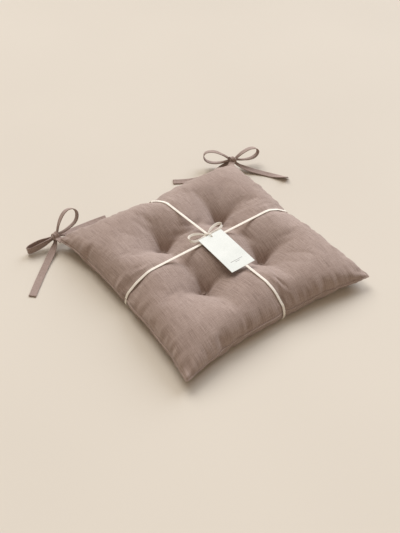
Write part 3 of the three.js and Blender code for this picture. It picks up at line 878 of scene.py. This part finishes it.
def knot_body(name, centre, axis, half_length, radii, material, seed):
    """Tape wrapped into a knot: a barrel round the axis whose tucks run round it."""
    axis = axis.normalized()
    side = axis.cross(Vector((0, 0, 1))).normalized()
    rise = side.cross(axis)
    rows, columns = 22, 32
    verts, uvs = [], []
    for j in range(rows + 1):
        t = 2 * j / rows - 1
        for i in range(columns):
            a = 2 * math.pi * i / columns
            swell = max(0.0, 1 - abs(t) ** 3.2) ** 0.5
            lean = t + 0.28 * math.sin(a + seed)
            tuck = 1 - 0.17 * abs(math.cos(math.pi * KNOT_TUCKS * lean / 2)) ** 6
            rough = 1 + 0.07 * noise.noise(Vector((math.cos(a) * 1.3, math.sin(a) * 1.3, t * 1.5 + seed)))
            reach = (0.12 + 0.88 * swell) * tuck * rough
            p = axis * (t * half_length * (1 + 0.05 * math.sin(2 * a + seed)))
            p += side * (radii[0] * reach * math.cos(a)) + rise * (radii[1] * reach * math.sin(a))
            verts.append(centre + p)
            uvs.append((a * radii[0], t * half_length))
    faces = ring_faces(rows + 1, columns)
    faces.append(tuple(range(columns))[::-1])
    faces.append(tuple(rows * columns + i for i in range(columns)))
    return make_object(name, verts, faces, uvs, material)


def knot_wrap(name, centre, axis, tilt, radii, width, thickness, material, seed):
    """A turn of tape crossing over the knot at a slant."""
    axis = axis.normalized()
    side = axis.cross(Vector((0, 0, 1))).normalized()
    rise = side.cross(axis)
    route, facing = [], []
    for k in range(40):
        a = 2 * math.pi * k / 40
        drift = math.sin(a + seed) * math.tan(tilt) * radii[0]
        turned = side * (radii[0] * math.cos(a)) + rise * (radii[1] * math.sin(a))
        route.append(centre + turned + axis * drift)
        facing.append(axis + side * (0.2 * math.cos(2 * a)))
    return strip(name, route, facing, width, thickness, material, closed=True, ripple=0.0006, seed=seed)


# Each tie's knot and corner, and its loops: the tip, the direction that the loop opens, and how wide.
TIES = {
    "left": {
        "knot": LEFT_KNOT,
        "corner": mm(-200, 200, 20),
        "loops": {
            "upright": (mm(-149, 229, 46), Vector((-0.54, 0.32, 0.64)), 0.027),
            "outer": (mm(-259, 217, 9), Vector((0.15, 1, 0)), 0.009),
        },
    },
    "right": {
        "knot": RIGHT_KNOT,
        "corner": mm(200, 200, 20),
        "loops": {
            "back": (mm(163, 247, 26), Vector((0.08, 0.3, 0.95)), 0.023),
            "outer": (mm(266, 197, 27), Vector((0, 0.3, 0.95)), 0.020),
        },
    },
}


for seed, (side, tie) in enumerate(TIES.items()):
    knot, corner = tie["knot"], tie["corner"]
    tips = []
    for k, (name, (tip, opened, opening)) in enumerate(tie["loops"].items()):
        points, wide = loop_route(knot, tip, opened, opening, KNOT_CLEAR)
        route = smooth_route(points, TAPE_STEP)
        piece = strip(
            f"loop_{side}_{name}", route, [wide, wide], TAPE_WIDTH, TAPE_THICKNESS, TIE,
            neck=(0.5, 0.5), gather=0.016, pleat_depth=0.001, ripple=0.0007, seed=3 * seed + k,
            uv_shift=(0.2 * k, 0.4 + 0.1 * seed),
        )
        dress(piece, f"{side}_bow", f"{side}_tie_{name}_loop")
        tips.append(tip)
    axis = tips[0] - tips[1]
    body = knot_body(f"knot_{side}", knot, axis, KNOT_HALF, (KNOT_RADIUS, KNOT_RADIUS), TIE, seed + 1)
    dress(body, f"{side}_bow", f"{side}_tie_knot")
    wrap_radii = (KNOT_WRAP_RADIUS, KNOT_WRAP_RADIUS)
    wrap = knot_wrap(f"knot_{side}_wrap", knot, axis, 0.45, wrap_radii, 0.0085, TAPE_THICKNESS, TIE, seed)
    dress(wrap, f"{side}_bow", None)
    out = knot - corner
    out.z = 0
    out.normalize()
    end = corner + out * ((knot - corner).length - ROOT_SHORT)
    end.z = (corner.z + knot.z) / 2
    path = smooth_route([corner - out * ROOT_SEWN, corner, corner.lerp(end, 0.5), end], 0.0010)
    across_tape = Vector((-out.y, out.x, 0))
    root = strip(
        f"root_{side}", path, [across_tape, across_tape], ROOT_WIDTH, ROOT_THICKNESS, TIE,
        neck=(1, 0.7), gather=0.004, pleats=1.5, pleat_depth=0.0005, ripple=0.0003, seed=seed,
    )
    dress(root, "pad", f"{side}_tie_root")


# ---- Ribbon bow on the crossing ----
BOW_STEP = 0.0015
LOOP_LEAN = 1.6  # how far the loops' tape leans back from standing on its edge
END_WIDTH = 0.0036
# Each loop's tip, with its height above the knot, the direction that it opens, and how wide.
RIBBON_LOOPS = {
    "left": (mm(-33, 26, 0), 0.0015, Vector((0.24, 0.97, 0.1)), 0.015),
    "right": (mm(39, 27, 0), 0.0020, Vector((0, 0.97, 0.3)), 0.009),
}
# The route of a ribbon end from the knot's middle: outwards, towards the front, and up.
RIBBON_END = ((0.0015, -0.0005, 0), (0.0046, -0.002, -0.0004), (0.0085, -0.006, -0.0010),
              (0.013, -0.0155, -0.0014), (0.016, -0.0295, -0.0016))

knot_low, knot_high = (Vector(p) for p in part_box("wrap_knot"))
wrap_knot = (knot_low + knot_high) / 2
body = knot_body("ribbon_knot", wrap_knot, Vector((1, 0, 0)), 0.0042, (0.0032, 0.0021), RIBBON, 2)
dress(body, "pad", "wrap_knot")
wrap = knot_wrap("ribbon_knot_wrap", wrap_knot, Vector((1, 0.2, 0)), 0.35, (0.0034, 0.0023), 0.0035,
                 0.0008, RIBBON, 1)
dress(wrap, "pad", None)
for k, (name, (tip, lift, opened, opening)) in enumerate(RIBBON_LOOPS.items()):
    tip.z = wrap_knot.z + lift
    points, wide = loop_route(wrap_knot, tip, opened, opening, 0.0040)
    wide += Vector((0, math.copysign(LOOP_LEAN, wide.z), 0))
    piece = strip(
        f"ribbon_loop_{name}", smooth_route(points, BOW_STEP), [wide, wide], RIBBON_WIDTH,
        RIBBON_THICKNESS, RIBBON, neck=(0.5, 0.5), gather=0.006, pleats=1.5, pleat_depth=0.0003,
        ripple=0.0003, hem=0, seed=k, columns=8,
    )
    dress(piece, "pad", f"wrap_{name}_loop")
for name, sign in (("left", -1), ("right", 1)):
    points = [wrap_knot + Vector((sign * out, ahead, lift)) for out, ahead, lift in RIBBON_END]
    route = smooth_route(points, BOW_STEP)
    facing = [Vector((sign * 0.7, 0.5, 0.5)), Vector((sign * 0.95, 0.3, 0.05))]
    piece = strip(
        f"ribbon_end_{name}", route, facing, END_WIDTH, RIBBON_THICKNESS, RIBBON, neck=(0.5, 1),
        gather=0.005, pleats=1.5, pleat_depth=0.0002, ripple=0.0002, hem=0, columns=8,
    )
    dress(piece, "pad", f"wrap_{name}_end")


# ---- Hang tag ----
TAG_WIDTH, TAG_LENGTH, TAG_THICKNESS, TAG_EDGE = 0.051, 0.094, 0.0008, 0.0025
TAG_PLACE = Matrix.Translation((0.004, 0.012, 0.063)) @ Matrix.Rotation(math.radians(1.5), 4, "Z")
TAG_FALL, TAG_BOW, TAG_CUP = 0.0024, 0.0024, 0.0005  # how the card slopes, bends and cups
PUNCH_RADIUS, PUNCH_INSET, PUNCH_SIDES = 0.002, 0.005, 24
SOFT_EDGE = 0.00015
RULES = ((-0.25, 0.25), (-0.09, 0.09))  # each printed rule's two ends, as shares of the width
RULE_START, RULE_PITCH, RULE_LENGTH = 0.79, 0.035, 0.010  # along the card, as shares of its length
INK_THICKNESS = 0.00006
RING_RADIUS, RING_WIDTH, RING_THICKNESS, RING_POINTS = 0.0033, 0.0018, 0.0008, 36


def tag_point(across_share, along_share, lift):
    """A point of the slightly bowed card, from its punched end."""
    z = -TAG_FALL * along_share - TAG_BOW * along_share ** 2 + lift
    z += TAG_CUP * (2 * across_share) ** 2 * along_share
    return TAG_PLACE @ Vector((across_share * TAG_WIDTH, TAG_EDGE - along_share * TAG_LENGTH, z))


def tag_patch(name, left, right, start, end, low, high, columns, rows, material):
    """A thin plate that follows the card, between two shares of its width and of its length."""
    verts, faces = [], []
    for lift in (low, high):
        for j in range(rows + 1):
            along_share = start + (end - start) * j / rows
            for i in range(columns + 1):
                verts.append(tag_point(left + (right - left) * i / columns, along_share, lift))
    layer = (columns + 1) * (rows + 1)
    for j in range(rows):
        for i in range(columns):
            a = j * (columns + 1) + i
            quad = (a, a + 1, a + columns + 2, a + columns + 1)
            faces.append(quad)
            faces.append(tuple(layer + q for q in reversed(quad)))
    border = list(range(columns + 1))
    border += [j * (columns + 1) + columns for j in range(1, rows + 1)]
    border += [rows * (columns + 1) + i for i in range(columns - 1, -1, -1)]
    border += [j * (columns + 1) for j in range(rows - 1, 0, -1)]
    for a, b in zip(border, border[1:] + border[:1]):
        faces.append((b, a, layer + a, layer + b))
    return make_object(name, verts, faces, material=material)


def punch_hole(obj):
    """Softens the card's edges and cuts the round hole at its end."""
    bottom = []
    for k in range(PUNCH_SIDES):
        a = (k + 0.5) * 2 * math.pi / PUNCH_SIDES
        y = TAG_EDGE - PUNCH_INSET + PUNCH_RADIUS * math.sin(a)
        bottom.append(TAG_PLACE @ Vector((PUNCH_RADIUS * math.cos(a), y, -0.003)))
    top = [p + Vector((0, 0, 0.006)) for p in bottom]
    faces = [tuple(range(PUNCH_SIDES))[::-1], tuple(range(PUNCH_SIDES, 2 * PUNCH_SIDES))]
    for k in range(PUNCH_SIDES):
        n = (k + 1) % PUNCH_SIDES
        faces.append((k, n, PUNCH_SIDES + n, PUNCH_SIDES + k))
    punch = make_object("punch", bottom + top, faces)
    soften = obj.modifiers.new("edges", "BEVEL")
    soften.width = SOFT_EDGE
    soften.segments = 2
    hole = obj.modifiers.new("hole", "BOOLEAN")
    hole.object = punch
    hole.solver = "EXACT"
    obj.data = bpy.data.meshes.new_from_object(obj.evaluated_get(bpy.context.evaluated_depsgraph_get()))
    obj.modifiers.clear()
    bpy.data.objects.remove(punch)


half = TAG_THICKNESS / 2
tag = tag_patch("tag_card", -0.5, 0.5, 0, 1, -half, half, 24, 44, CARD)
punch_hole(tag)
tag.data.polygons.foreach_set("use_smooth", [False] * len(tag.data.polygons))
dress(tag, "tag", "hang_tag")
for number, (left, right) in enumerate(RULES):
    start = RULE_START + RULE_PITCH * number
    rule = tag_patch(f"tag_rule_{number}", left, right, start, start + RULE_LENGTH, half,
                     half + INK_THICKNESS, 8, 1, INK)
    dress(rule, "tag", None)
ring_route = []
for a in np.linspace(0, 2 * math.pi, RING_POINTS, endpoint=False):
    ring_route.append(TAG_PLACE @ Vector((0, RING_RADIUS * math.cos(a), RING_RADIUS * math.sin(a))))
ring_facing = TAG_PLACE.to_3x3() @ Vector((1, 0, 0))
ring = strip("tag_loop", ring_route, [ring_facing] * RING_POINTS, RING_WIDTH, RING_THICKNESS, RIBBON,
             closed=True, ripple=0.0003, hem=0, columns=5)
dress(ring, "tag", "tag_string")


# ---- Floor and light ----
FLOOR_RADIUS, FLOOR_SIDES = 4.0, 96
RIM_RADIUS, RIM_TURN, RIM_STEPS = 8.0, math.radians(34), 12


def floor_material():
    g = Graph("floor")
    position = g.add("ShaderNodeTexCoord").outputs["Object"]
    tone = g.ramp(g.noise(position, 1.5, 2), [(0.3, rgb(209, 201, 188)), (0.7, rgb(213, 205, 192))])
    g.links.new(tone, g.shader.inputs["Base Color"])
    g.shader.inputs["Roughness"].default_value = 0.7
    return g.material


def sun_light(name, azimuth, elevation, strength, angle, colour):
    """A soft far light. Its azimuth is counted from +Y towards +X, and its angle is its apparent size."""
    light = bpy.data.lights.new(name, "SUN")
    light.energy = strength
    light.angle = math.radians(angle)
    light.color = colour
    a, e = math.radians(azimuth), math.radians(elevation)
    towards = Vector((math.sin(a) * math.cos(e), math.cos(a) * math.cos(e), math.sin(e)))
    obj = bpy.data.objects.new(name, light)
    obj.rotation_euler = towards.to_track_quat("Z", "Y").to_euler()
    scene.collection.objects.link(obj)


def studio_floor():
    """A round pale floor whose rim curves up, so that low views meet no hard horizon."""
    verts, faces = [], [tuple(range(FLOOR_SIDES))]
    for step in range(RIM_STEPS + 1):
        turn = RIM_TURN * step / RIM_STEPS
        radius, height = FLOOR_RADIUS + RIM_RADIUS * math.sin(turn), RIM_RADIUS * (1 - math.cos(turn))
        for k in range(FLOOR_SIDES):
            a = 2 * math.pi * k / FLOOR_SIDES
            verts.append((radius * math.cos(a), radius * math.sin(a), height))
    for step in range(RIM_STEPS):
        inner, outer = step * FLOOR_SIDES, (step + 1) * FLOOR_SIDES
        for k in range(FLOOR_SIDES):
            n = (k + 1) % FLOOR_SIDES
            faces.append((inner + k, outer + k, outer + n, inner + n))
    return make_object("floor", verts, faces, material=floor_material())


studio_floor()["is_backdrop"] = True
sun_light("key", 12, 45, 2.1, 40, (1.0, 0.985, 0.96))
sun_light("side", 72, 32, 2.1, 40, (0.82, 0.886, 1.0))
world = bpy.data.worlds.new("studio")
world.use_nodes = True
world.node_tree.nodes["Background"].inputs["Color"].default_value = (1.0, 0.83, 0.66, 1)
world.node_tree.nodes["Background"].inputs["Strength"].default_value = 0.38
scene.world = world
scene.view_settings.view_transform = "Standard"

low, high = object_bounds()
